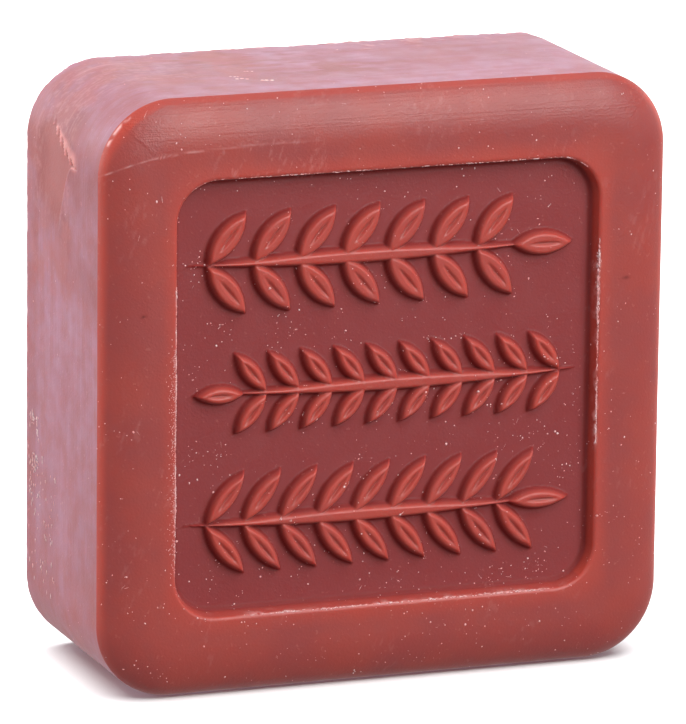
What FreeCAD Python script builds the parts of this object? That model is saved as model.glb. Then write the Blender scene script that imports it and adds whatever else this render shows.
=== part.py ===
import FreeCAD, Part
import os

import Sketcher
from FreeCAD import Placement, Rotation, Vector

# A bar of soap pressed in a two-part die: a thick square with round corners, a
# crowned front edge and a sunk panel that carries three rows of raised leaf sprigs.
# Frame: the bar stands on its lower edge. X is its width, Z its height, and the
# panel faces -Y. The origin is the middle of the footprint. Sizes in millimetres
# and degrees.

NODE = "soap_bar"
FRONT = "dimensions.depth / 2"
FLOOR = "dimensions.depth / 2 - dimensions.panel_depth"
RELIEF = "dimensions.relief_height"
MIDDLE = "dimensions.height / 2"
CROWN_STEPS = 9
TOLERANCE = 0.01

DIMENSIONS = {
    # the block
    "width": 63.0,
    "height": 63.7,
    "depth": 25.8,
    "corner_radius": 8.1,
    "back_radius": 0.4,
    # the crowned edge, a quarter ellipse from the parting line to the front plane
    "crown_inset": 5.6,
    "crown_depth": 2.2,
    # the sunk panel
    "panel_width": 46.9,
    "panel_height": 46.5,
    "panel_radius": 4.5,
    "panel_depth": 1.9,
    "panel_draft": 12.0,
    "panel_rim_radius": 0.45,
    "panel_floor_radius": 0.35,
    # the relief
    "relief_height": 1.2,
    "relief_draft": 6.0,
    "row_length": 42.0,
    "stem_width": 1.7,
    "stem_start": 1.2,
    "tip_overlap": 0.7,
    "leaf_angle": 51.0,
    "vein_depth": 0.35,
    "vein_width": 0.45,
    "vein_start": 0.24,
    "vein_span": 0.58,
    # upper row: few and broad leaves
    "upper_rise": 14.05,
    "upper_pairs": 7,
    "upper_pitch": 4.95,
    "upper_length": 6.9,
    "upper_leaf_width": 2.7,
    # middle row: small leaves, the sprig points to the left
    "middle_rise": 0.2,
    "middle_pairs": 10,
    "middle_pitch": 3.65,
    "middle_length": 5.5,
    "middle_leaf_width": 2.05,
    # lower row: slim leaves
    "lower_rise": -13.65,
    "lower_pairs": 9,
    "lower_pitch": 4.05,
    "lower_length": 7.0,
    "lower_leaf_width": 2.2,
}

# name of the row, and the way its sprig points along X
ROWS = (("upper", 1), ("middle", -1), ("lower", 1))


def make_sheet(doc):
    sheet = doc.addObject("Spreadsheet::Sheet", "dimensions")
    for row, (alias, number) in enumerate(DIMENSIONS.items(), start=1):
        sheet.set(f"A{row}", alias)
        sheet.set(f"B{row}", str(number))
        sheet.setAlias(f"B{row}", alias)
    doc.recompute()
    return sheet


class Bar:
    """The body of the bar, and the steps that its features share."""

    def __init__(self, doc, sheet):
        self.doc = doc
        self.sheet = sheet
        self.body = doc.addObject("PartDesign::Body", NODE)
        self.body.Label = NODE
        doc.recompute()

    def value(self, expression):
        number = self.sheet.evalExpression(expression)
        return float(getattr(number, "Value", number))

    def origin(self, role):
        return next(f for f in self.body.Origin.OriginFeatures if f.Role == role)

    def sketch(self, name, offset):
        """A sketch across the bar, facing the front, offset towards the front."""
        sketch = self.body.newObject("Sketcher::SketchObject", name)
        sketch.AttachmentSupport = [(self.origin("XZ_Plane"), "")]
        sketch.MapMode = "FlatFace"
        sketch.AttachmentOffset = Placement(Vector(0, 0, self.value(offset)), Rotation())
        sketch.setExpression("AttachmentOffset.Base.z", offset)
        return sketch

    def size(self, sketch, kind, where, name, expression):
        """Adds one driving dimension to a sketch and binds it to the sheet."""
        number = self.value(expression)
        index = sketch.addConstraint(Sketcher.Constraint(kind, *where, number))
        sketch.renameConstraint(index, name)
        sketch.setExpression(f"Constraints.{name}", expression)

    def rounded_rectangle(self, name, offset, width, height, radius):
        """A rectangle with round corners, centred on the bar."""
        sketch = self.sketch(name, offset)
        half_w = self.value(width) / 2
        half_h = self.value(height) / 2
        r = self.value(radius)
        mid = self.value(MIDDLE)
        z = Vector(0, 0, 1)
        corners = ((1, 1), (-1, 1), (-1, -1), (1, -1))
        for quarter, (sx, sy) in enumerate(corners):
            centre = Vector(sx * (half_w - r), mid + sy * (half_h - r), 0)
            start = Rotation(z, 90 * quarter).multVec(Vector(r, 0, 0))
            halfway = Rotation(z, 90 * quarter + 45).multVec(Vector(r, 0, 0))
            end = Rotation(z, 90 * quarter + 90).multVec(Vector(r, 0, 0))
            sketch.addGeometry(Part.Arc(centre + start, centre + halfway, centre + end), False)
        for quarter in range(4):
            here = sketch.getPoint(quarter, 2)
            there = sketch.getPoint((quarter + 1) % 4, 1)
            sketch.addGeometry(Part.LineSegment(here, there), False)
        for quarter in range(4):
            line = 4 + quarter
            following = (quarter + 1) % 4
            sketch.addConstraint(Sketcher.Constraint("Tangent", quarter, 2, line, 1))
            sketch.addConstraint(Sketcher.Constraint("Tangent", line, 2, following, 1))
            level = "Horizontal" if quarter % 2 == 0 else "Vertical"
            sketch.addConstraint(Sketcher.Constraint(level, line))
        for quarter in range(1, 4):
            sketch.addConstraint(Sketcher.Constraint("Equal", 0, quarter))
        top, left, bottom, right = 4, 5, 6, 7
        self.size(sketch, "Radius", (0,), "radius", radius)
        self.size(sketch, "DistanceX", (left, 1, right, 1), "width", width)
        self.size(sketch, "DistanceX", (-1, 1, right, 1), "right", f"({width}) / 2")
        self.size(sketch, "DistanceY", (bottom, 1, top, 1), "height", height)
        self.size(sketch, "DistanceY", (-1, 1, top, 1), "top", f"{MIDDLE} + ({height}) / 2")
        return sketch

    def leaf(self, name, offset, base, rise, length, width, angle):
        """A pointed oval from a point on the stem out to its tip: two equal arcs."""
        sketch = self.sketch(name, offset)
        start = Vector(self.value(base), self.value(rise), 0)
        reach = self.value(length)
        bulge = self.value(width) / 2
        turn = Rotation(Vector(0, 0, 1), self.value(angle))
        tip = start + turn.multVec(Vector(reach, 0, 0))
        chord = sketch.addGeometry(Part.LineSegment(start, tip), True)
        self.size(sketch, "DistanceX", (-1, 1, chord, 1), "base_x", base)
        self.size(sketch, "DistanceY", (-1, 1, chord, 1), "base_y", rise)
        tip_x = f"{base} + ({length}) * cos(({angle}) * 1 deg)"
        tip_y = f"{rise} + ({length}) * sin(({angle}) * 1 deg)"
        self.size(sketch, "DistanceX", (-1, 1, chord, 2), "tip_x", tip_x)
        self.size(sketch, "DistanceY", (-1, 1, chord, 2), "tip_y", tip_y)
        radius = f"(({length}) ^ 2 + ({width}) ^ 2) / (4 * ({width}))"
        for side, label in ((1, "left"), (-1, "right")):
            middle = start + turn.multVec(Vector(reach / 2, side * bulge, 0))
            arc = sketch.addGeometry(Part.Arc(start, middle, tip), False)
            from_stem = (sketch.getPoint(arc, 1) - start).Length < TOLERANCE
            near, far = (1, 2) if from_stem else (2, 1)
            sketch.addConstraint(Sketcher.Constraint("Coincident", arc, near, chord, 1))
            sketch.addConstraint(Sketcher.Constraint("Coincident", arc, far, chord, 2))
            self.size(sketch, "Radius", (arc,), f"{label}_radius", radius)
        return sketch

    def pad(self, name, sketch, length, draft=None):
        pad = self.body.newObject("PartDesign::Pad", name)
        pad.Profile = sketch
        pad.setExpression("Length", length)
        if draft:
            pad.setExpression("TaperAngle", f"-({draft}) * 1 deg")
        self.doc.recompute()
        return pad

    def pocket(self, name, sketch, length, draft=None):
        """Cuts towards the back, and makes sure that it took something away."""
        before = self.body.Shape.Volume
        pocket = self.body.newObject("PartDesign::Pocket", name)
        pocket.Profile = sketch
        pocket.Reversed = False
        pocket.setExpression("Length", length)
        if draft:
            pocket.setExpression("TaperAngle", f"-({draft}) * 1 deg")
        self.doc.recompute()
        if self.body.Shape.Volume > before - TOLERANCE:
            raise RuntimeError(f"{name} cuts nothing")
        return pocket

    def fillet(self, name, radius, wanted):
        """Rounds each edge of the latest feature that wanted(edge) accepts."""
        base = self.body.Tip
        edges = [f"Edge{i}" for i, e in enumerate(base.Shape.Edges, start=1) if wanted(e)]
        fillet = self.body.newObject("PartDesign::Fillet", name)
        fillet.Base = (base, edges)
        fillet.setExpression("Radius", radius)
        self.doc.recompute()
        return fillet

    def pattern(self, name, features, heading, pitch, count):
        """Repeats features along X, the way the sprig points."""
        pattern = self.body.newObject("PartDesign::LinearPattern", name)
        pattern.Originals = features
        pattern.Direction = (self.origin("X_Axis"), [""])
        pattern.Reversed = heading < 0
        pattern.setExpression("Length", f"({pitch}) * ({count} - 1)")
        pattern.setExpression("Occurrences", count)
        self.body.Tip = pattern
        self.doc.recompute()
        return pattern


def make_block(bar):
    """The straight-sided block behind the parting line, and the crown in front."""
    back = bar.rounded_rectangle(
        "back_outline",
        "-dimensions.depth / 2",
        "dimensions.width",
        "dimensions.height",
        "dimensions.corner_radius",
    )
    bar.pad("block", back, "dimensions.depth - dimensions.crown_depth")
    sections = []
    for step in range(CROWN_STEPS + 1):
        turn = f"{90 * step / CROWN_STEPS} deg"
        inset = f"dimensions.crown_inset * (1 - cos({turn}))"
        sections.append(
            bar.rounded_rectangle(
                f"crown_section_{step}",
                f"{FRONT} - dimensions.crown_depth * (1 - sin({turn}))",
                f"dimensions.width - 2 * {inset}",
                f"dimensions.height - 2 * {inset}",
                f"dimensions.corner_radius - {inset}",
            )
        )
    crown = bar.body.newObject("PartDesign::AdditiveLoft", "crown")
    crown.Profile = sections[0]
    crown.Sections = sections[1:]
    crown.Ruled = True
    bar.doc.recompute()
    behind = bar.value("dimensions.depth / 2")
    bar.fillet(
        "back_edge",
        "dimensions.back_radius",
        lambda e: e.BoundBox.YMin > behind - TOLERANCE,
    )


def make_panel(bar):
    """The sunk panel, with drafted walls, a soft rim and a soft inner corner."""
    outline = bar.rounded_rectangle(
        "panel_outline",
        FRONT,
        "dimensions.panel_width",
        "dimensions.panel_height",
        "dimensions.panel_radius",
    )
    bar.pocket("panel", outline, "dimensions.panel_depth", "dimensions.panel_draft")
    front = -bar.value(FRONT)
    floor = -bar.value(FLOOR)
    reach = bar.value("dimensions.panel_width / 2") + TOLERANCE

    def in_panel_at(edge, level):
        box = edge.BoundBox
        flat = abs(box.YMin - level) < TOLERANCE and abs(box.YMax - level) < TOLERANCE
        return flat and box.XMax < reach and box.XMin > -reach

    bar.fillet("panel_rim", "dimensions.panel_rim_radius", lambda e: in_panel_at(e, front))
    bar.fillet("panel_foot", "dimensions.panel_floor_radius", lambda e: in_panel_at(e, floor))


def make_leaf(bar, name, base, rise, length, width, angle):
    """A raised leaf with a vein sunk into it. Returns its two features."""
    outline = bar.leaf(f"{name}_outline", FLOOR, base, rise, length, width, angle)
    blade = bar.pad(f"{name}_blade", outline, RELIEF, "dimensions.relief_draft")
    along = f"({length}) * dimensions.vein_start"
    vein_base = f"{base} + {along} * cos(({angle}) * 1 deg)"
    vein_rise = f"{rise} + {along} * sin(({angle}) * 1 deg)"
    line = bar.leaf(
        f"{name}_vein_outline",
        f"{FLOOR} + {RELIEF}",
        vein_base,
        vein_rise,
        f"{length} * dimensions.vein_span",
        "dimensions.vein_width",
        angle,
    )
    vein = bar.pocket(f"{name}_vein", line, "dimensions.vein_depth")
    return [blade, vein]


def make_sprig(bar, row, heading):
    """One row of relief: a stem, pairs of leaves along it and a leaf at its tip."""
    rise = f"{MIDDLE} + dimensions.{row}_rise"
    pitch = f"dimensions.{row}_pitch"
    count = f"dimensions.{row}_pairs"
    length = f"dimensions.{row}_length"
    width = f"dimensions.{row}_leaf_width"
    start = f"-{heading} * dimensions.row_length / 2"
    first = f"{start} + {heading} * dimensions.stem_start"
    last = f"{heading} * (dimensions.row_length / 2 - {length})"
    ahead = 0 if heading > 0 else 180

    reach = f"dimensions.row_length - {length} * dimensions.tip_overlap"
    stem = bar.leaf(
        f"{row}_stem_outline", FLOOR, start, rise, reach, "dimensions.stem_width", f"{ahead}"
    )
    bar.pad(f"{row}_stem", stem, RELIEF, "dimensions.relief_draft")
    make_leaf(bar, f"{row}_tip", last, rise, length, width, f"{ahead}")
    features = []
    for side, sign in (("above", "+"), ("below", "-")):
        angle = f"{ahead} {sign} {heading} * dimensions.leaf_angle"
        features += make_leaf(bar, f"{row}_{side}", first, rise, length, width, angle)
    bar.pattern(f"{row}_leaves", features, heading, pitch, count)


def check(doc, body):
    for item in doc.Objects:
        if {"Invalid", "Error"} & set(item.State):
            raise RuntimeError(f"{item.Name} is {item.State}")
    shape = body.Shape
    if shape.isNull() or not shape.isValid():
        raise RuntimeError(f"{body.Label} has no valid shape")
    if len(shape.Solids) != 1:
        raise RuntimeError(f"{body.Label} is {len(shape.Solids)} solids")


def main():
    doc = FreeCAD.newDocument("pressed_soap_bar")
    bar = Bar(doc, make_sheet(doc))
    make_block(bar)
    make_panel(bar)
    for row, heading in ROWS:
        make_sprig(bar, row, heading)
    check(doc, bar.body)
    os.makedirs("parts", exist_ok=True)
    bar.body.Shape.exportStep(f"parts/{bar.body.Label}.step")
    box = bar.body.Shape.optimalBoundingBox()
    print(f"{NODE}: {box.XLength:.2f} x {box.YLength:.2f} x {box.ZLength:.2f} mm")
    print(f"volume {bar.body.Shape.Volume / 1000:.2f} cm3")


main()
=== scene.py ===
"""A pressed bar of red clay soap, standing on its lower edge on a pale floor.

The bar is one solid, so its skin is one closed mesh: a front of square rings that
run from the middle of the sunk panel out to the parting line, walls behind it and
a flat back. Lengths are in millimetres until a mesh is made. x is across, y is
depth with the panel facing -y, and z is up.
"""

import itertools
import math

import bpy
import numpy as np
from mathutils import Matrix, Vector


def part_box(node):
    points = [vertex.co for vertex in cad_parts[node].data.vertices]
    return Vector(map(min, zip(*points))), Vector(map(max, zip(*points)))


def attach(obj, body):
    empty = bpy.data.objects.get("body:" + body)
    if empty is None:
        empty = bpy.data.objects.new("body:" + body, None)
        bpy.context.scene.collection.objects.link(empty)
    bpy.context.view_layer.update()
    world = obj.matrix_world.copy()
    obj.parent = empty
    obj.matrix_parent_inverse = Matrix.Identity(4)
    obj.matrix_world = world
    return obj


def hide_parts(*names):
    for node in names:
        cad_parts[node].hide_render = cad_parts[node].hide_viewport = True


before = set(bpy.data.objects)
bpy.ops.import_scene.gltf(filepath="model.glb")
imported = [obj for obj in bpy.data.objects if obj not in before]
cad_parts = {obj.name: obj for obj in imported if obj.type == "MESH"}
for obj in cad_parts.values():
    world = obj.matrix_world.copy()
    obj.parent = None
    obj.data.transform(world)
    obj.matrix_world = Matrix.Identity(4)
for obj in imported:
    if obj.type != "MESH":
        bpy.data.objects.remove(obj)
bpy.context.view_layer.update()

MM = 0.001
SEED = 7

# The block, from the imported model.
low, high = (np.array(corner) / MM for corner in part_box("soap_bar"))
HALF_WIDTH = (high[0] - low[0]) / 2
HALF_HEIGHT = (high[2] - low[2]) / 2
MIDDLE = (high[2] + low[2]) / 2
FRONT = low[1]
BACK = high[1]
TOP = high[2]
LEFT = low[0]
CORNER = 8.1
CROWN_INSET = 5.6
CROWN_DEPTH = 2.2
CROWN_START = math.radians(12)
BACK_ROUND = 0.4
# The skin stands this far inside the block, so that what lies on it stays inside too.
SKIN_ROOM = 0.08

# The sunk panel: half sizes and corner radius at its rim, and its section, as the
# distance outside the rim and the depth below the front plane.
PANEL_HALF_WIDTH = 23.45
PANEL_HALF_HEIGHT = 23.25
PANEL_CORNER = 4.5
PANEL_DEPTH = 1.9
FOOT_START = -0.75
FOOT = (-0.404, PANEL_DEPTH)
WALL_LOW = (-0.33, 1.5)
WALL_HIGH = (-0.1, 0.45)
RIM_END = 0.45

# Rings of the front mesh in each stretch; rows of the walls, which crowd towards the
# front, and of the rounded back edge; and how many times coarser the back's own grid
# is, and how far inside that edge it starts.
FLOOR_RINGS = 184
FOOT_RINGS = 5
WALL_RINGS = 7
RIM_RINGS = 7
PLATEAU_RINGS = 17
CROWN_RINGS = 44
WALL_ROWS = 100
WALL_CROWDING = 1.15
ROUND_ROWS = 6
BACK_SHARE = 4
BACK_GAP = 0.4

# The relief: rows of leaf sprigs. Each is rise from the middle, pairs of leaves,
# pitch, leaf length, leaf width, and the way it points along x.
ROW_LENGTH = 42.0
STEM_START = 1.2
STEM_WIDTH = 1.7
TIP_OVERLAP = 0.7
LEAF_ANGLE = math.radians(51)
RELIEF_HEIGHT = 1.2
RELIEF_EDGE = 0.5
RELIEF_FOOT = 0.1
VEIN_START = 0.24
VEIN_SPAN = 0.58
VEIN_WIDTH = 0.6
VEIN_DEPTH = 0.35
ROWS = (
    (14.05, 7, 4.95, 6.9, 2.7, 1),
    (0.2, 10, 3.65, 5.5, 2.05, -1),
    (-13.65, 9, 4.05, 7.0, 2.2, 1),
)

# The marks that the materials and the crumbs read, one value for each point.
MASKS = (
    ("bloom", "burr", "crown", "painted_shade", "painted_glow", "lip")
    + ("powder", "raw", "scuff", "spot", "sunk", "wear")
)
# How many steps the shade round the relief is spread by.
HALO_STEPS = 6
# How far the torn flap's edge runs forward for each millimetre down.
FLAP_SLOPE = 2.3

# Loose crumbs on the skin: how many, the smallest and the spread of their half
# lengths, and the share that are hairs, with a hair's half lengths and half widths.
CRUMBS = 1300
CRUMB_LEAST = 0.045
CRUMB_SPREAD = 0.024
HAIR_SHARE = 0.035
HAIR_LONG = (0.25, 0.7)
HAIR_WIDE = (0.02, 0.035)
# A flake's sides, how deep its edge and its root sit, and how high its peak may stand.
FLAKE_SIDES = 6
FLAKE_SINK = 0.02
FLAKE_ROOT = 0.06
FLAKE_PEAK = 0.05
# Nothing comes nearer to the sides of the CAD block than this.
EDGE_ROOM = 0.004
# Where flakes crowd: mask, how many, half lengths, half widths, swing off the edge.
DRIFTS = (
    ("burr", 760, (0.08, 0.3), (0.03, 0.07), 0.2),
    ("powder", 700, (0.04, 0.09), (0.04, 0.08), 3.0),
    ("scuff", 150, (0.15, 0.5), (0.08, 0.2), 0.2),
)
# Flakes on the top: across, ahead of the back face, half length and half width, and
# the way they all lie.
TOP_FLAKE_LIE = (1, -0.45, 0)
TOP_FLAKES = (
    (18.0, 14.8, 0.5, 0.2),
    (18.4, 16.1, 0.8, 0.4),
    (20.3, 12.6, 0.6, 0.2),
    (20.6, 17.5, 0.7, 0.5),
)

# The studio: how bright the room is on each side, and the lamps.
WORLD_FRONT = 0.3
WORLD_BACK = 1.5
WORLD_UNDER = 0.4
WORLD_OVER = 0.25
# The lamps for the soap: name, azimuth, elevation, distance, size, power in watts.
LIGHTS = (
    ("key", 19, 25, 0.6, (0.42, 0.36), 2.9),
    ("crown", 15, 53, 0.6, (0.45, 0.2), 1.2),
    ("left_back", -106, 14, 0.6, (0.5, 0.5), 1.75),
    ("overhead", 150, 75, 0.7, (0.8, 0.6), 0.68),
)
# The floor has a lamp of its own, which lights nothing else.
FLOOR_WASH = 6.5
FLOOR_WASH_SPREAD = math.radians(86)
FLOOR_REACH = 12.0
FLOOR_DROP = 0.1

# The camera, in degrees and millimetres: a long lens that looks a little down.
CAMERA_ANGLES = (-20.75, 13.34, 0.675)
CAMERA_SHIFT = (-0.00523, -0.00117)
CAMERA_LENS = 371.0
CAMERA_FILM = 36.0
CAMERA_DISTANCE = 790.0
AIM_BEHIND_FRONT = 12.6


# ---------------------------------------------------------------- numbers


def smooth(start, end, value):
    """0 at start, 1 at end, level beyond them and an even curve between them."""
    t = np.clip((value - start) / (end - start), 0.0, 1.0)
    return t * t * (3.0 - 2.0 * t)


def bump(value, centre, width):
    """A bell round centre."""
    return np.exp(-(((value - centre) / width) ** 2))


def window(value, start, end, fade):
    """1 between start and end, fading to 0 outside them."""
    return smooth(start - fade, start, value) * (1.0 - smooth(end, end + fade, value))


def scatter(cells, seed):
    """A repeatable number from 0 to 1 for each row of three whole numbers."""
    mixed = cells @ np.array([374761393, 668265263, 1103515245]) + seed * 362437
    mixed = mixed & 0xFFFFFFFF
    mixed = ((mixed ^ (mixed >> 13)) * 1274126177) & 0xFFFFFFFF
    return (mixed ^ (mixed >> 16)) / 0xFFFFFFFF


def noise(points, size, seed):
    """Smooth noise from 0 to 1, with lumps of that size."""
    scaled = points / size
    base = np.floor(scaled).astype(np.int64)
    part = scaled - base
    part = part * part * (3.0 - 2.0 * part)
    total = np.zeros(len(points))
    for corner in itertools.product((0, 1), repeat=3):
        share = np.where(corner, part, 1.0 - part).prod(axis=1)
        total += share * scatter(base + corner, seed)
    return total


def fractal(points, size, seed, octaves=3):
    """Noise with finer noise on top, from 0 to 1."""
    total = np.zeros(len(points))
    for octave in range(octaves):
        total += noise(points, size * 0.5**octave, seed + octave) * 0.5**octave
    return total / (2.0 - 0.5 ** (octaves - 1))


# ---------------------------------------------------------------- the skin


def on_square(side, share, half_x, half_z, corner):
    """Points on a rounded square about the origin. side is 0 right, 1 top, 2 left,
    3 bottom, and share runs from -1 to 1 between the middles of two corners."""
    upright = side % 2 == 0
    out = np.where(upright, half_x, half_z)
    along = np.where(upright, half_z, half_x)
    straight = along - corner
    walk = share * (straight + corner * math.pi / 4)
    turn = np.maximum(np.abs(walk) - straight, 0.0) / np.maximum(corner, 1e-9)
    u = out - corner + corner * np.cos(turn)
    v = np.sign(walk) * (np.minimum(np.abs(walk), straight) + corner * np.sin(turn))
    x = np.choose(side, (u, -v, -u, v))
    z = np.choose(side, (v, u, -v, -u))
    return x, z


def bend(start, corner, end, count):
    """Points round a bend, after its start and up to its end."""
    t = np.arange(1, count + 1)[:, None] / count
    start, corner, end = map(np.array, (start, corner, end))
    return (1 - t) ** 2 * start + 2 * t * (1 - t) * corner + t**2 * end


def front_rings():
    """Half width, half height, corner radius and y of each ring of the front, from
    the middle out to the parting line."""
    share = np.arange(FLOOR_RINGS + 1) / FLOOR_RINGS
    half_x = share * (PANEL_HALF_WIDTH + FOOT_START)
    half_z = share * (PANEL_HALF_HEIGHT + FOOT_START)
    corner = PANEL_CORNER + FOOT_START - (1 - share) * half_x[-1]
    level = np.full(len(share), FRONT + PANEL_DEPTH)
    floor = np.stack([half_x, half_z, np.maximum(corner, 0.0), level], axis=1)

    foot = bend((FOOT_START, PANEL_DEPTH), FOOT, WALL_LOW, FOOT_RINGS)
    climb = np.arange(1, WALL_RINGS + 1)[:, None] / WALL_RINGS
    wall = (1 - climb) * np.array(WALL_LOW) + climb * np.array(WALL_HIGH)
    rim = bend(WALL_HIGH, (0.0, 0.0), (RIM_END, 0.0), RIM_RINGS)
    out, depth = np.concatenate([foot, wall, rim]).T
    panel = np.stack(
        [PANEL_HALF_WIDTH + out, PANEL_HALF_HEIGHT + out, PANEL_CORNER + out, FRONT + depth],
        axis=1,
    )

    turn = np.linspace(math.pi / 2, CROWN_START, CROWN_RINGS + 1)
    inset = CROWN_INSET * (math.cos(CROWN_START) - np.cos(turn)) / math.cos(CROWN_START)
    rise = (np.sin(turn) - math.sin(CROWN_START)) / (1 - math.sin(CROWN_START))
    crown = np.stack(
        [
            HALF_WIDTH - inset,
            HALF_HEIGHT - inset,
            CORNER - inset,
            FRONT + CROWN_DEPTH * (1 - rise),
        ],
        axis=1,
    )
    share = np.arange(1, PLATEAU_RINGS)[:, None] / PLATEAU_RINGS
    plateau = (1 - share) * panel[-1] + share * crown[0]
    return np.concatenate([floor, panel, plateau, crown])


def square_grid(half):
    """Ring number, side and share along the side of each point of a square grid."""
    i, j = np.meshgrid(*[np.arange(-half, half + 1)] * 2, indexing="ij")
    i, j = i.ravel(), j.ravel()
    ring = np.maximum(np.abs(i), np.abs(j))
    side = np.select([i == ring, j == ring, i == -ring], [0, 1, 2], 3)
    share = np.choose(side, (j, -i, -j, i)) / np.maximum(ring, 1)
    return ring, side, share


def grid_faces(half, first, flip=False):
    """Quads of a square grid whose points start at number first."""
    width = 2 * half + 1
    i, j = np.meshgrid(*[np.arange(2 * half)] * 2, indexing="ij")
    a = first + (i * width + j).ravel()
    quads = np.stack([a, a + width, a + width + 1, a + 1], axis=1)
    return quads[:, ::-1] if flip else quads


def round_grid(half, first):
    """Numbers of a square grid's outer points, once round from the lower right."""
    width = 2 * half + 1
    step = np.arange(2 * half)
    i = np.concatenate([0 * step + 2 * half, 2 * half - step, 0 * step, step])
    j = np.concatenate([step, 0 * step + 2 * half, 2 * half - step, 0 * step])
    return first + i * width + j


def strip_faces(front, behind):
    """Quads between two closed loops with as many points each."""
    return np.stack([front, behind, np.roll(behind, -1), np.roll(front, -1)], axis=1)


def narrow_faces(fine, coarse):
    """Triangles between a closed loop and one with a quarter of its points."""
    blocks = fine.reshape(-1, BACK_SHARE)
    ahead = np.roll(fine, -BACK_SHARE).reshape(-1, BACK_SHARE)[:, 0]
    after = np.roll(coarse, -1)
    centre = blocks[:, 2]
    return np.concatenate(
        [
            np.stack([blocks[:, 0], coarse, blocks[:, 1]], axis=1),
            np.stack([blocks[:, 1], coarse, centre], axis=1),
            np.stack([centre, coarse, after], axis=1),
            np.stack([centre, after, blocks[:, 3]], axis=1),
            np.stack([blocks[:, 3], after, ahead], axis=1),
        ]
    )


def normals_of(points, quads, triangles):
    """Outward unit normals of the points."""
    total = np.zeros_like(points)
    for faces in (quads, triangles):
        a, b, c = (points[faces[:, n]] for n in (0, 1, -1))
        across = np.cross(b - a, c - a)
        for n in range(faces.shape[1]):
            for axis in range(3):
                total[:, axis] += np.bincount(
                    faces[:, n], across[:, axis], minlength=len(points)
                )
    return total / np.maximum(np.linalg.norm(total, axis=1), 1e-12)[:, None]


def make_skin():
    """The plain closed skin of the bar. Returns its points, quads and triangles, the
    ring number of each point of the front, and the rings as front_rings gives them."""
    rings = front_rings()
    half = len(rings) - 1
    ring, side, share = square_grid(half)
    x, z = on_square(side, share, *rings[ring, :3].T)
    points = [np.stack([x, rings[ring, 3], MIDDLE + z], axis=1)]
    quads = [grid_faces(half, 0)]
    edge = round_grid(half, 0)
    side, share = side[edge], share[edge]
    count = len(x)

    start = FRONT + CROWN_DEPTH
    depth = np.linspace(0, 1, WALL_ROWS + 1)[1:] ** WALL_CROWDING
    wall_y = start + depth * (BACK - BACK_ROUND - start)
    turn = np.arange(1, ROUND_ROWS + 1) / ROUND_ROWS * math.pi / 2
    inset = np.concatenate([0 * wall_y, BACK_ROUND * (1 - np.cos(turn))])
    wall_y = np.concatenate([wall_y, BACK - BACK_ROUND * (1 - np.sin(turn))])
    ahead = edge
    for y, less in zip(wall_y, inset, strict=True):
        x, z = on_square(side, share, HALF_WIDTH - less, HALF_HEIGHT - less, CORNER - less)
        points.append(np.stack([x, np.full(len(x), y), MIDDLE + z], axis=1))
        behind = count + np.arange(len(x))
        quads.append(strip_faces(ahead, behind))
        ahead = behind
        count += len(x)

    coarse = half // BACK_SHARE
    back_ring, back_side, back_share = square_grid(coarse)
    portion = back_ring / coarse
    edge_gap = BACK_ROUND + BACK_GAP
    half_x = portion * (HALF_WIDTH - edge_gap)
    half_z = portion * (HALF_HEIGHT - edge_gap)
    corner = np.maximum(CORNER - edge_gap - (1 - portion) * HALF_WIDTH, 0.0)
    x, z = on_square(back_side, back_share, half_x, half_z, corner)
    points.append(np.stack([x, np.full(len(x), BACK), MIDDLE + z], axis=1))
    quads.append(grid_faces(coarse, count, flip=True))
    triangles = narrow_faces(ahead, round_grid(coarse, count))
    return np.concatenate(points), np.concatenate(quads), triangles, ring, rings


# ---------------------------------------------------------------- the relief


def leaf_depth(x, z, base, angle, length, width):
    """How far inside a pointed oval each point lies, below 0 outside it."""
    along = (x - base[0]) * math.cos(angle) + (z - base[1]) * math.sin(angle)
    aside = (z - base[1]) * math.cos(angle) - (x - base[0]) * math.sin(angle)
    radius = (length**2 + width**2) / (4 * width)
    reach = np.hypot(along - length / 2, np.abs(aside) + radius - width / 2)
    return radius - reach


def leaf_height(x, z, base, angle, length, width, vein=True):
    """A leaf's height over the panel's floor, round shouldered, with a vein."""
    inside = leaf_depth(x, z, base, angle, length, width)
    part = np.clip((inside + RELIEF_FOOT) / (RELIEF_EDGE + RELIEF_FOOT), 0.0, 1.0)
    height = RELIEF_HEIGHT * np.sin(part * math.pi / 2)
    if vein:
        along = VEIN_START * length
        start = (base[0] + along * math.cos(angle), base[1] + along * math.sin(angle))
        groove = leaf_depth(x, z, start, angle, VEIN_SPAN * length, VEIN_WIDTH)
        height -= VEIN_DEPTH * smooth(0.0, VEIN_WIDTH / 2, groove)
    return height


def relief(x, z):
    """Height of the three sprigs over the panel's floor."""
    height = np.zeros(len(x))
    for rise, pairs, pitch, length, width, heading in ROWS:
        start = -heading * ROW_LENGTH / 2
        ahead = 0.0 if heading > 0 else math.pi
        stem = ROW_LENGTH - TIP_OVERLAP * length
        tip = (heading * (ROW_LENGTH / 2 - length), rise)
        near = np.abs(z - rise) < length
        u, v = x[near], z[near]
        found = leaf_height(u, v, (start, rise), ahead, stem, STEM_WIDTH, vein=False)
        found = np.maximum(found, leaf_height(u, v, tip, ahead, length, width))
        for number in range(pairs):
            base = (start + heading * (STEM_START + number * pitch), rise)
            for angle in (ahead + LEAF_ANGLE, ahead - LEAF_ANGLE):
                close = np.abs(u - base[0]) < length
                one = leaf_height(u[close], v[close], base, angle, length, width)
                found[close] = np.maximum(found[close], one)
        height[near] = found
    return height


# ---------------------------------------------------------------- wear and bloom


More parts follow.
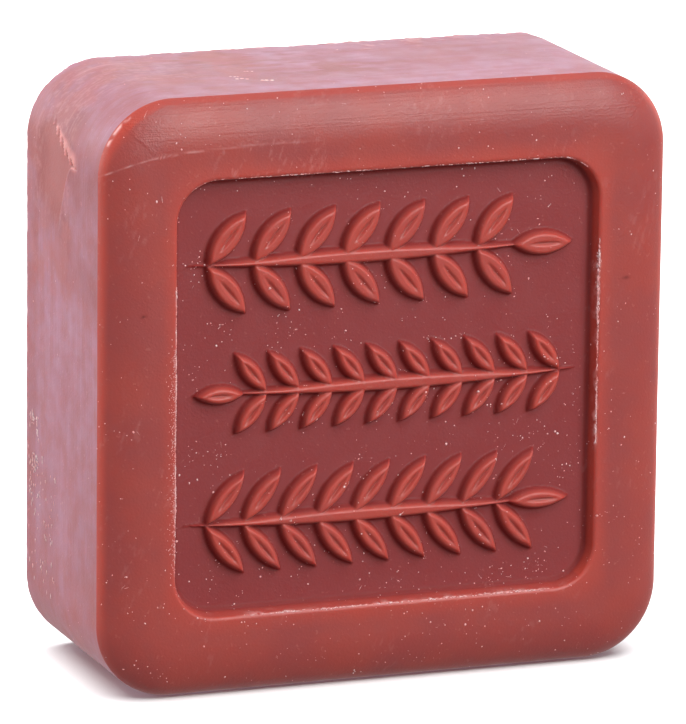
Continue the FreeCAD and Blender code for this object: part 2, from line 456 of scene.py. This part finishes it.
def halo_of(raised):
    """How near each point of the front lies to a leaf, on its shaded lower left most, for the
    shadow painted round the leaves.
    """
    width = math.isqrt(len(raised))
    leaf = (raised > 0).reshape(width, width).astype(float)
    halo = leaf.copy()
    for step in range(1, HALO_STEPS + 1):
        moved = np.roll(leaf, (-step, -step // 2), (0, 1))
        halo = np.maximum(halo, moved * (1 - step / (HALO_STEPS + 1)))
    for shift, axis in itertools.product((1, -1), (0, 1)):
        halo = np.maximum(halo, np.roll(leaf, shift, axis) * 0.8)
    return (halo * (1 - leaf)).ravel()


def front_marks(points, ring, rings, raised):
    """Masks and displacement of the pressed front, one value for each point. Marks
    are placed by how far across from the left and below the top they lie, by how far
    outside the panel's rim, and by how far in from the parting line."""
    x, y, z = points.T
    below = TOP - z
    across = x - LEFT
    outside = rings[ring, 0] - PANEL_HALF_WIDTH
    crown_first = len(rings) - 1 - CROWN_RINGS
    walk = np.concatenate([[0], np.hypot(*np.diff(rings[:, [0, 3]], axis=0).T).cumsum()])
    from_line = walk[-1] - walk[ring]
    floor = ring <= FLOOR_RINGS
    upright = np.abs(x) / HALF_WIDTH > np.abs(z - MIDDLE) / HALF_HEIGHT

    # painted glow: soft light through the thin convex edges, painted into the colour, less
    # towards the foot
    band = np.where(upright, 1.5, 1.15) + 0.3 * (noise(points, 3.0, 11) - 0.5)
    band += 0.6 * bump(np.hypot(across - 2.5, below - 2.5), 0, 4.0)
    start = np.where(upright, 0.3, 0.65)
    painted_glow = (1.0 - smooth(start, 1.0, from_line / band)) * (1.0 - 0.8 * smooth(50, 61, below))
    painted_glow *= np.where(upright, 0.9, 0.35 + 0.45 * (1 - smooth(2, 9, across)))
    # painted glow on the panel's rim and walls, stronger on the right wall
    rim = smooth(-0.44, -0.25, outside) * (1 - smooth(0.25, 2.0, outside))
    rim *= 0.5 + 0.4 * (x > 0) * upright * (outside < 0)
    painted_glow = np.maximum(painted_glow, rim * (ring < crown_first))
    # painted highlight on the leaf tops, which catch more light
    painted_glow = np.maximum(painted_glow, 0.45 * smooth(0.25, 1.0, raised / RELIEF_HEIGHT))

    # painted shade: a deeper red in the sharp inner corners at the feet of the panel's walls
    # and of the leaves, and round the leaves
    painted_shade = 0.85 * bump(outside, -0.55, 0.22) * (ring >= FLOOR_RINGS - 4)
    painted_shade = np.maximum(painted_shade, bump(raised / RELIEF_HEIGHT, 0.15, 0.35) * (raised > 0))
    # painted shadow round the leaves, most on their lower left
    painted_shade = np.maximum(painted_shade, 0.85 * halo_of(raised))

    # a thin bright flash on the parting line at the upper left corner
    sliver = window(across - below, -3.4, 1.4, 0.5) * bump(from_line, 0.35, 0.16)
    sliver *= smooth(0.2, 0.5, noise(points, 0.6, 13)) * (across < 10)

    # torn pale edge along the panel's rim, most on its left and right, and where the
    # burrs and powder on it lie
    left = window(below, 20.5, 43, 1.5) + 0.5 * window(below, 43, 50, 2)
    left *= (x < 0) * upright
    right = window(below, 19.0, 39, 2) * (x > 0) * upright
    torn = window(below, 19.5, 25.5, 1.0) * right
    bottom = 0.7 * window(across, 17, 48, 3) * (z < MIDDLE) * ~upright
    top = 0.4 * (z > MIDDLE) * ~upright
    where = np.maximum.reduce([left, right, bottom, top])
    grit = fractal(points, 0.3, 25, 2)
    thick = 0.07 + 0.07 * smooth(0.45, 0.65, noise(points, 0.9, 21)) + 0.05 * torn
    line = bump(outside + 0.18 * (noise(points, 0.9, 23) - 0.5), 0.0, thick) * where
    line *= smooth(0.25, 0.45, grit) * (0.5 + 0.5 * smooth(0.35, 0.6, noise(points, 3.2, 27)))
    burr = where * (0.35 + 0.65 * smooth(0.4, 0.65, noise(points, 2.6, 27)) + 0.3 * torn)
    burr *= bump(outside, 0.03, 0.05 + 0.04 * torn)
    powder = window(below, 28, 47, 4) * (x < 0) * upright * bump(outside, 0.2, 0.5)

    # the faint curved mould crease at the upper left
    crease_at = 5.0 + 2.8 * np.exp(-across / 5.0) + 0.12 * (noise(points, 2.5, 41) - 0.5)
    crease = bump(below, crease_at, 0.08) * (1 - smooth(14, 25, across))
    crease *= ring >= crown_first - PLATEAU_RINGS
    crease *= 0.2 + 0.8 * smooth(0.3, 0.7, noise(points, 0.7, 43))

    # pale stains and smears of dry soap, crowded above the panel
    slanted = points @ np.array([[1.0, 0, 0.25], [0, 1, 0], [-0.35, 0, 0.3]])
    above = window(across, 14, 23, 3) * window(below, 5.5, 9.0, 1.2)
    stain = smooth(0.58, 0.75, fractal(slanted, 0.4, 45, 3))
    stain *= 0.3 * above + 0.14 * smooth(0.6, 0.75, noise(points, 4.0, 47))
    stain *= ring > FLOOR_RINGS

    # two small dark inclusions in the paste
    ragged = 0.16 * (noise(points, 0.3, 49) - 0.5)
    spot = bump(np.hypot(across - 4.4, 1.5 * (below - 22.4)) + ragged, 0, 0.25)
    other = bump(np.hypot(0.6 * (across - 58.1), 1.4 * (below - 21.9)) + ragged, 0, 0.25)
    spot = np.maximum(spot, 0.7 * other)

    wave = fractal(points, 9.0, 51, 3) - 0.5
    push = 0.05 * wave + 0.08 * line + 0.03 * crease + 0.1 * sliver
    push += 0.012 * (fractal(points, 0.6, 61, 2) - 0.5) * floor
    wear = np.clip(0.5 * line + crease * 0.35 + stain * 0.4 + sliver * 0.9, 0, 1)
    sunk = smooth(0.15, -0.5, outside) * (1 - smooth(0.1, 0.7, raised / RELIEF_HEIGHT))
    crown = (1.0 - smooth(3.0, 6.0, from_line)) * (z > MIDDLE) * ~upright
    masks = {"crown": crown, "painted_shade": painted_shade, "painted_glow": painted_glow, "spot": spot, "sunk": sunk}
    masks |= {"burr": burr, "powder": powder, "wear": wear}
    return masks, push


def side_marks(points):
    """Masks and displacement of the walls and the back, which carry the bloom. Marks
    are placed by how far across, below the top and ahead of the back face they lie.
    The seeds of the noise are all different, so that no two marks repeat."""
    x, y, z = points.T
    below = TOP - z
    across = x - LEFT
    behind = BACK - y
    on_left = smooth(5.0, 2.0, across)
    on_top = smooth(5.0, 2.0, below)
    on_back = behind < 0.01
    # distance round the bar and distance back, for marks that run round it
    round_bar = np.stack([x + z, y, 0 * x], axis=1)

    cloud = fractal(points * (1.0, 1.6, 1.0), 13.0, 71, 4)
    # more bloom on the top face: partly its real bloom, partly painted sheen of the light
    # falling on the top
    bloom = 0.68 + 0.7 * (cloud - 0.5) + 0.14 * on_top
    bloom -= 0.1 * on_left * smooth(12, 22, behind)
    dusky = bump(across, 22, 10) * bump(behind, 6, 6) * on_top
    dusky += bump(across, 30, 6) * bump(behind, 14, 4) * on_top
    bloom -= 0.6 * dusky * smooth(0.35, 0.6, fractal(round_bar * (0.35, 1, 1), 0.9, 73, 3))
    bloom -= 0.25 * on_left * smooth(45, 60, below)
    bloom -= 0.18 * bump(behind, 2.4, 2.0) * on_left * (1 - smooth(50, 60, below))
    corner = window(across + below, 0, 20, 6)
    bloom -= 0.3 * corner * smooth(0.3, 0.6, fractal(points, 4.0, 75, 3))

    # the torn flap of skin high on the left, with teeth that hang over the raw soap
    tooth = ((behind - 11.3) / 1.7) % 1.0
    tooth = 1.1 * tooth**2 - 0.3 + 0.25 * (noise(points, 0.7, 81) - 0.5)
    hang = 5.2 + (behind - 8.6) / FLAP_SLOPE
    drop = 15.4 - 4.6 * np.sqrt(np.clip((below - 8.5) / 7.6, 0, 1.6))
    ahead = np.where(below < 8.5, (hang + tooth - below) * FLAP_SLOPE, behind - drop)
    inside = smooth(-0.1, 0.15, -ahead) * smooth(3.5, 7.0, below)
    raw = inside * smooth(3.0, 8.0, behind) * (1 - smooth(11, 17.5, below)) * on_left
    reach = 1.2 + 1.8 * (below - 5.2)
    lip = smooth(-0.15, 0.1, ahead) * (1 - smooth(0.4, reach, (hang - below) * FLAP_SLOPE))
    lip *= window(below, 5.6, 8.4, 0.7) * on_left * (1 - smooth(15.8, 17.2, behind))
    lip *= 0.7 + 0.3 * smooth(0.35, 0.6, fractal(points, 0.5, 83, 2))

    # where flakes lie, low on the back of the left side and along its foot
    scuff = window(behind, 1.6, 4.0, 0.5) * window(below, 38, 49.5, 1) * on_left
    scuff *= smooth(0.4, 0.6, noise(points, 1.6, 93))
    scuff += 0.08 * window(behind, 2, 9, 2) * window(below, 43, 54, 3) * on_left

    # the broken back edge, pale on its burrs and red where it has crumbled
    edge = bump(behind, 0.1, 0.6) * (on_top + 0.3 * on_left) * ~on_back
    flake = 0.8 * edge * smooth(0.5, 0.66, noise(points, 0.8, 98))
    bloom -= 0.6 * edge * smooth(0.45, 0.6, noise(points, 1.1, 94))
    far = window(across, 37, 50, 3) * window(behind, 0, 4.5, 1.5) * on_top
    crust = far * smooth(0.52, 0.66, fractal(points, 1.5, 99, 3)) * ~on_back

    # hair lines where the skin was dragged round the upper left corner
    cross = points @ np.array([[0.5, 0, 1.0], [0.6, 1.0, 0.2], [0.5, 0, -0.4]])
    hair = smooth(0.6, 0.7, fractal(round_bar * (0.4, 2.4, 1), 0.5, 95, 2))
    hair = np.maximum(hair, smooth(0.6, 0.7, fractal(cross, 0.4, 96, 2)))
    hair *= window(across + below, 3, 13, 4) * window(behind, 4, 13, 3) * (1 - raw)
    scratch = bump(behind - 0.3 * noise(points, 2.0, 89), 4.4, 0.25)
    hair = np.maximum(hair, 2.0 * scratch * window(across, 4.5, 9, 1) * on_top)

    push = 0.06 * (fractal(points, 11.0, 101, 3) - 0.5)
    push += 0.06 * lip - 0.2 * raw + 0.05 * flake + 0.07 * crust
    push -= 0.12 * edge * smooth(0.4, 0.7, fractal(points, 0.8, 103, 3))
    bloom = np.clip(bloom - 0.75 * raw, 0.05, 1.0)
    patch = corner * window(behind, 3, 15, 4) * smooth(0.4, 0.6, fractal(points, 3.0, 77, 4))
    raw = np.maximum(raw, 0.6 * patch)
    wear = np.clip(0.8 * flake + 0.14 * hair + 0.3 * crust, 0, 1)
    masks = {"bloom": bloom, "lip": lip, "raw": raw, "scuff": scuff, "wear": wear}
    return masks, push * ~on_back


def make_bar():
    """The bar's mesh object, with its masks as attributes, and what make_crumbs needs
    to lay crumbs on it."""
    points, quads, triangles, ring, rings = make_skin()
    front = len(ring)
    raised = np.zeros(front)
    floor = ring <= FLOOR_RINGS
    raised[floor] = relief(points[:front][floor, 0], points[:front][floor, 2] - MIDDLE)
    normals = normals_of(points, quads, triangles)
    masks = {name: np.zeros(len(points)) for name in MASKS}
    push = np.zeros(len(points))
    on_front, push[:front] = front_marks(points[:front], ring, rings, raised)
    on_side, push[front:] = side_marks(points[front:])
    for name, values in on_front.items():
        masks[name][:front] = values
    for name, values in on_side.items():
        masks[name][front:] = values
    points[:front, 1] -= raised
    points += normals * (push - SKIN_ROOM)[:, None]
    points = np.clip(points, low + EDGE_ROOM, high - EDGE_ROOM)

    mesh = bpy.data.meshes.new("soap_bar_skin")
    mesh.vertices.add(len(points))
    mesh.vertices.foreach_set("co", (points * MM).ravel())
    corners = np.concatenate([quads.ravel(), triangles.ravel()])
    mesh.loops.add(len(corners))
    mesh.loops.foreach_set("vertex_index", corners)
    mesh.polygons.add(len(quads) + len(triangles))
    starts = np.concatenate(
        [np.arange(len(quads)) * 4, len(quads) * 4 + np.arange(len(triangles)) * 3]
    )
    mesh.polygons.foreach_set("loop_start", starts)
    mesh.update(calc_edges=True)
    for name, values in masks.items():
        attribute = mesh.attributes.new(name, "FLOAT", "POINT")
        attribute.data.foreach_set("value", values.astype(np.float32))
    mesh.shade_smooth()
    bar = bpy.data.objects.new("soap_bar_skin", mesh)
    bpy.context.scene.collection.objects.link(bar)
    return bar, points, normals_of(points, quads, triangles), ring, raised, masks


# ---------------------------------------------------------------- crumbs


def lay_flake(heap, place, out, slide, long, wide, random):
    """Add one ragged flake to a heap of vertices and faces. It is a flat cone that
    stands on the skin, and a second one below it that closes it."""
    vertices, faces = heap
    aside = out.cross(slide)
    first = len(vertices)
    for turn in range(FLAKE_SIDES):
        angle = math.tau * turn / FLAKE_SIDES
        along = slide * long * math.cos(angle) + aside * wide * math.sin(angle)
        along *= random.uniform(0.7, 1.2)
        vertices.append(place + along - out * FLAKE_SINK)
    peak = slide * long * random.uniform(-0.3, 0.3)
    vertices.append(place + peak + out * min(wide, FLAKE_PEAK))
    vertices.append(place - out * FLAKE_ROOT)
    top = first + FLAKE_SIDES
    for turn in range(FLAKE_SIDES):
        near = first + turn
        far = first + (turn + 1) % FLAKE_SIDES
        faces.append((near, far, top))
        faces.append((far, near, top + 1))


def make_crumbs(points, normals, ring, raised, masks):
    """Dust, crumbs, burrs and short hairs of soap lying on the skin, as one mesh."""
    random = np.random.default_rng(SEED)
    front = len(ring)

    # crumbs are likely in the panel and low on the front, rare on leaves and walls
    chance = np.zeros(len(points))
    outside = ring > FLOOR_RINGS
    chance[:front] = np.where(outside, 0.35, 1.0)
    low_part = smooth(TOP - 20, TOP - 62, points[:front, 2])
    chance[:front] *= 0.6 + 0.8 * low_part
    chance[:front] *= np.where(raised > 0.5, 0.6, 1.0)
    chance[front:] = 0.05 * (points[front:, 1] < BACK - 1)
    chance *= 0.15 + smooth(0.45, 0.8, fractal(points, 2.6, 111, 3)) * 3.0
    heap = ([], [])
    for number in random.choice(len(points), CRUMBS, replace=False, p=chance / chance.sum()):
        out = Vector(normals[number])
        slide = out.orthogonal().normalized()
        slide.rotate(Matrix.Rotation(random.uniform(0, math.tau), 3, out))
        long = CRUMB_LEAST + random.gamma(2.0, CRUMB_SPREAD)
        wide = long * random.uniform(0.55, 1.0)
        if random.random() < HAIR_SHARE:
            long = random.uniform(*HAIR_LONG)
            wide = random.uniform(*HAIR_WIDE)
        lay_flake(heap, Vector(points[number]), out, slide, long, wide, random)

    for name, count, longs, wides, swing in DRIFTS:
        share = masks[name] / masks[name].sum()
        for number in random.choice(len(points), count, replace=False, p=share):
            x, _, z = points[number]
            upright = abs(x) / HALF_WIDTH > abs(z - MIDDLE) / HALF_HEIGHT
            out = Vector(normals[number])
            slide = Vector((0, 0, 1)) if upright else Vector((1, 0, 0))
            slide = (slide - out * slide.dot(out)).normalized()
            slide.rotate(Matrix.Rotation(random.uniform(-swing, swing), 3, out))
            long = random.uniform(*longs)
            wide = random.uniform(*wides)
            lay_flake(heap, Vector(points[number]), out, slide, long, wide, random)

    slide = Vector(TOP_FLAKE_LIE).normalized()
    # each flake on the top is three torn bits that overlap
    for across, back_by, long, wide in TOP_FLAKES:
        place = Vector((LEFT + across, BACK - back_by, TOP - SKIN_ROOM))
        for step in (-0.7, 0.0, 0.7):
            shift = slide * long * step + Vector((0, random.uniform(-0.5, 0.5) * wide, 0))
            lay_flake(heap, place + shift, Vector((0, 0, 1)), slide, long / 2, wide, random)

    vertices = np.clip(np.array(heap[0]), low + EDGE_ROOM, high - EDGE_ROOM)
    mesh = bpy.data.meshes.new("soap_crumbs")
    mesh.from_pydata([tuple(v) for v in vertices * MM], [], heap[1])
    mesh.update()
    mesh.shade_smooth()
    crumbs = bpy.data.objects.new("soap_crumbs", mesh)
    bpy.context.scene.collection.objects.link(crumbs)
    return crumbs


# ---------------------------------------------------------------- materials


def linear(red, green, blue):
    """A screen colour, 0 to 255, as the numbers that a shader takes."""
    shares = (np.array([red, green, blue]) / 255 + 0.055) / 1.055
    return (*(float(s) for s in shares**2.4), 1.0)


class Nodes:
    """A short way to write a material's node tree. A value may be a number, a colour
    or another node's output."""

    def __init__(self, name):
        self.material = bpy.data.materials.new(name)
        self.material.use_nodes = True
        self.tree = self.material.node_tree
        self.shader = self.tree.nodes["Principled BSDF"]
        self.place = self.tree.nodes.new("ShaderNodeTexCoord").outputs["Object"]

    def join(self, value, socket):
        if isinstance(value, bpy.types.NodeSocket):
            self.tree.links.new(value, socket)
        else:
            socket.default_value = value

    def mask(self, name):
        """One of the marks that make_bar stores on the mesh."""
        node = self.tree.nodes.new("ShaderNodeAttribute")
        node.attribute_name = name
        return node.outputs["Fac"]

    def maths(self, kind, first, second=0.0, clamp=False):
        node = self.tree.nodes.new("ShaderNodeMath")
        node.operation = kind
        node.use_clamp = clamp
        self.join(first, node.inputs[0])
        self.join(second, node.inputs[1])
        return node.outputs[0]

    def ramp(self, value, start, end, low_end=0.0, high_end=1.0):
        """A smooth step of a value between a start and an end."""
        node = self.tree.nodes.new("ShaderNodeMapRange")
        node.interpolation_type = "SMOOTHSTEP"
        numbers = (value, start, end, low_end, high_end)
        for number, socket in zip(numbers, node.inputs, strict=False):
            self.join(number, socket)
        return node.outputs[0]

    def mix(self, share, first, second):
        node = self.tree.nodes.new("ShaderNodeMix")
        node.data_type = "RGBA"
        self.join(share, node.inputs["Factor"])
        self.join(first, node.inputs["A"])
        self.join(second, node.inputs["B"])
        return node.outputs["Result"]

    def grain(self, size, stretch=(1, 1, 1), detail=3.0):
        """Noise with lumps of a size in millimetres, drawn out along an axis."""
        scale = self.tree.nodes.new("ShaderNodeMapping")
        scale.inputs["Scale"].default_value = [1 / (MM * size * s) for s in stretch]
        self.tree.links.new(self.place, scale.inputs["Vector"])
        node = self.tree.nodes.new("ShaderNodeTexNoise")
        node.inputs["Scale"].default_value = 1.0
        node.inputs["Detail"].default_value = detail
        self.tree.links.new(scale.outputs[0], node.inputs["Vector"])
        return node.outputs["Fac"]

    def finish(self, colour, roughness, height, depth):
        """Join up the shader, with bumps of a depth in millimetres."""
        node = self.tree.nodes.new("ShaderNodeBump")
        node.inputs["Distance"].default_value = depth * MM
        self.join(height, node.inputs["Height"])
        self.join(colour, self.shader.inputs["Base Color"])
        self.join(roughness, self.shader.inputs["Roughness"])
        self.tree.links.new(node.outputs[0], self.shader.inputs["Normal"])
        return self.material


def soap_material():
    """Red clay soap: a smooth, slightly clear pressed front, and walls with a dull
    pale bloom that is streaked round the bar."""
    n = Nodes("clay_soap")
    patches = n.grain(7.0, detail=4.0)
    colour = n.mix(n.ramp(patches, 0.35, 0.65), linear(172, 77, 70), linear(163, 75, 72))
    colour = n.mix(n.mask("sunk"), colour, linear(148, 63, 64))
    # painted glow and highlight: light through the thin edges, on the panel's walls and on
    # the leaf tops
    colour = n.mix(n.mask("painted_glow"), colour, linear(200, 82, 68))
    # painted shade: deep red in the inner corners and round the leaves
    colour = n.mix(n.mask("painted_shade"), colour, linear(136, 34, 31))
    drawn = n.grain(1.0, (9.0, 9.0, 0.2), detail=2.0)
    drawn = n.maths("MULTIPLY", n.ramp(drawn, 0.4, 0.7), n.mask("crown"))
    speck = n.ramp(n.grain(0.5, detail=2.0), 0.66, 0.74, 0.0, 0.18)
    colour = n.mix(speck, colour, linear(214, 140, 130))

    bands = n.grain(1.0, (42.0, 1.3, 42.0), detail=2.0)
    mottle = n.grain(2.6, detail=5.0)
    streaks = n.grain(1.0, (10.0, 0.28, 10.0), detail=3.0)
    banded = n.ramp(bands, 0.3, 0.7, 0.15, 0.45)
    tone = n.maths("ADD", banded, n.ramp(mottle, 0.3, 0.7, 0.05, 0.45))
    bloom_colour = n.mix(tone, linear(192, 120, 127), linear(200, 150, 175))
    streaked = n.ramp(streaks, 0.3, 0.7, 0.93, 1.07)
    dust = n.maths("ADD", streaked, n.ramp(mottle, 0.3, 0.7, -0.1, 0.1))
    bloom = n.maths("MULTIPLY", n.mask("bloom"), dust, clamp=True)
    colour = n.mix(bloom, colour, bloom_colour)
    colour = n.mix(n.maths("MULTIPLY", n.mask("raw"), 0.8), colour, linear(196, 112, 110))
    colour = n.mix(n.mask("lip"), colour, linear(244, 164, 160))
    fleck = n.ramp(n.grain(0.4, detail=1.0), 0.68, 0.76, 0.0, 0.35)
    fleck = n.maths("MULTIPLY", fleck, bloom)
    colour = n.mix(fleck, colour, linear(232, 180, 180))
    colour = n.mix(n.mask("wear"), colour, linear(252, 204, 202))
    colour = n.mix(n.mask("spot"), colour, linear(104, 30, 34))
    rough = n.ramp(n.grain(3.0), 0.3, 0.7, 0.33, 0.4)
    rough = n.maths("ADD", rough, n.maths("MULTIPLY", bloom, 0.14))
    rough = n.maths("ADD", rough, n.maths("MULTIPLY", n.mask("wear"), 0.2))
    rough = n.maths("ADD", rough, n.maths("MULTIPLY", n.mask("painted_shade"), 0.5), clamp=True)
    pores = n.grain(0.25, detail=3.0)
    height = n.maths("ADD", pores, n.maths("MULTIPLY", streaks, bloom))
    height = n.maths("ADD", height, n.maths("MULTIPLY", drawn, 0.4))
    sparkle = n.maths("MULTIPLY", n.grain(0.16, detail=1.0), n.mask("crown"))
    height = n.maths("ADD", height, sparkle)
    n.shader.inputs["Subsurface Weight"].default_value = 0.7
    n.shader.inputs["Subsurface Radius"].default_value = (1.0, 0.28, 0.2)
    n.shader.inputs["Subsurface Scale"].default_value = 1.2 * MM
    n.shader.inputs["IOR"].default_value = 1.46
    return n.finish(colour, rough, height, 0.03)


def crumb_material():
    """Dry flakes of the same soap, pale where they are thin."""
    n = Nodes("dry_soap")
    tone = n.ramp(n.grain(0.8), 0.35, 0.65)
    colour = n.mix(tone, linear(246, 172, 170), linear(255, 224, 224))
    return n.finish(colour, n.ramp(tone, 0.0, 1.0, 0.5, 0.65), n.grain(0.15), 0.01)


def floor_material():
    n = Nodes("white_floor")
    colour = n.mix(n.grain(40.0), linear(250, 250, 250), linear(246, 246, 247))
    return n.finish(colour, n.ramp(n.grain(25.0), 0.3, 0.7, 0.6, 0.7), n.grain(2.0), 0.01)


# ---------------------------------------------------------------- the studio


def make_floor():
    """A pale floor that is seen but throws no light back up. The world below the
    horizon lights the undersides instead, dimmer than a white floor would."""
    mesh = bpy.data.meshes.new("floor")
    height = (low[2] - FLOOR_DROP) * MM
    turns = ((-1, -1), (1, -1), (1, 1), (-1, 1))
    corners = [(x * FLOOR_REACH, y * FLOOR_REACH, height) for x, y in turns]
    mesh.from_pydata(corners, [], [(0, 1, 2, 3)])
    floor = bpy.data.objects.new("floor", mesh)
    bpy.context.scene.collection.objects.link(floor)
    floor.data.materials.append(floor_material())
    floor.visible_diffuse = False
    floor.visible_glossy = False
    floor.visible_shadow = False
    return floor


def make_light(name, azimuth, elevation, distance, size, power):
    """A square soft box that faces the bar, placed as a camera would be."""
    light = bpy.data.lights.new(name, "AREA")
    light.shape = "RECTANGLE"
    light.size, light.size_y = size
    light.energy = power
    item = bpy.data.objects.new(name, light)
    a, e = math.radians(azimuth), math.radians(elevation)
    back = Vector((math.sin(a) * math.cos(e), -math.cos(a) * math.cos(e), math.sin(e)))
    item.location = Vector((0, 0, MIDDLE * MM)) + back * distance
    item.rotation_euler = back.to_track_quat("Z", "Y").to_euler()
    bpy.context.scene.collection.objects.link(item)
    return item


def make_floor_wash():
    """Even light from high overhead, for the floor alone."""
    light = bpy.data.lights.new("floor_wash", "SUN")
    light.energy = FLOOR_WASH
    light.angle = FLOOR_WASH_SPREAD
    item = bpy.data.objects.new("floor_wash", light)
    bpy.context.scene.collection.objects.link(item)
    return item


def make_world():
    """A room that is white behind the bar, darker in front and under it, and greyer
    overhead."""
    world = bpy.data.worlds.new("studio")
    world.use_nodes = True
    tree = world.node_tree
    place = tree.nodes.new("ShaderNodeTexCoord").outputs["Generated"]
    split = tree.nodes.new("ShaderNodeSeparateXYZ")
    tree.links.new(place, split.inputs[0])

    def step(axis, start, end, first, last):
        ramp = tree.nodes.new("ShaderNodeMapRange")
        ramp.interpolation_type = "SMOOTHSTEP"
        numbers = (start, end, first, last)
        for number, socket in zip(numbers, ramp.inputs[1:5], strict=True):
            socket.default_value = number
        tree.links.new(split.outputs[axis], ramp.inputs[0])
        return ramp.outputs[0]

    def times(first, second):
        node = tree.nodes.new("ShaderNodeMath")
        node.operation = "MULTIPLY"
        tree.links.new(first, node.inputs[0])
        tree.links.new(second, node.inputs[1])
        return node.outputs[0]

    depth = step("Y", -0.7, 0.5, WORLD_FRONT, WORLD_BACK)
    under = step("Z", -0.08, 0.0, WORLD_UNDER, 1.0)
    over = step("Z", 0.25, 0.65, 1.0, WORLD_OVER)
    strength = times(times(depth, under), over)
    tree.links.new(strength, tree.nodes["Background"].inputs["Strength"])
    tree.nodes["Background"].inputs["Color"].default_value = (0.97, 0.98, 1.0, 1)
    bpy.context.scene.world = world


def make_camera():
    """A long lens that looks a little down on the bar from its left."""
    data = bpy.data.cameras.new("camera")
    data.lens = CAMERA_LENS
    data.sensor_width = CAMERA_FILM
    data.shift_x, data.shift_y = CAMERA_SHIFT
    a, e, roll = (math.radians(angle) for angle in CAMERA_ANGLES)
    back = Vector((math.sin(a) * math.cos(e), -math.cos(a) * math.cos(e), math.sin(e)))
    right = Vector((math.cos(a), math.sin(a), 0))
    up = back.cross(right)
    right, up = (
        math.cos(roll) * right + math.sin(roll) * up,
        math.cos(roll) * up - math.sin(roll) * right,
    )
    turn = Matrix((right, up, back)).transposed().to_4x4()
    camera = bpy.data.objects.new("camera", data)
    centre = Vector((0, FRONT + AIM_BEHIND_FRONT, MIDDLE)) * MM
    camera.matrix_world = Matrix.Translation(centre + back * (CAMERA_DISTANCE * MM)) @ turn
    bpy.context.scene.collection.objects.link(camera)
    bpy.context.scene.camera = camera


make_camera()
make_world()
floor = make_floor()
soap_only = bpy.data.collections.new("soap_only")
floor_only = bpy.data.collections.new("floor_only")
floor_only.objects.link(floor)
for lamp in LIGHTS:
    make_light(*lamp).light_linking.receiver_collection = soap_only
make_floor_wash().light_linking.receiver_collection = floor_only
bpy.context.scene.view_settings.view_transform = "Standard"

bar, points, normals, ring, raised, masks = make_bar()
bar.data.materials.append(soap_material())
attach(bar, "root")
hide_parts("soap_bar")

crumbs = make_crumbs(points, normals, ring, raised, masks)
crumbs.data.materials.append(crumb_material())
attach(crumbs, "root")
for piece in (bar, crumbs):
    soap_only.objects.link(piece)
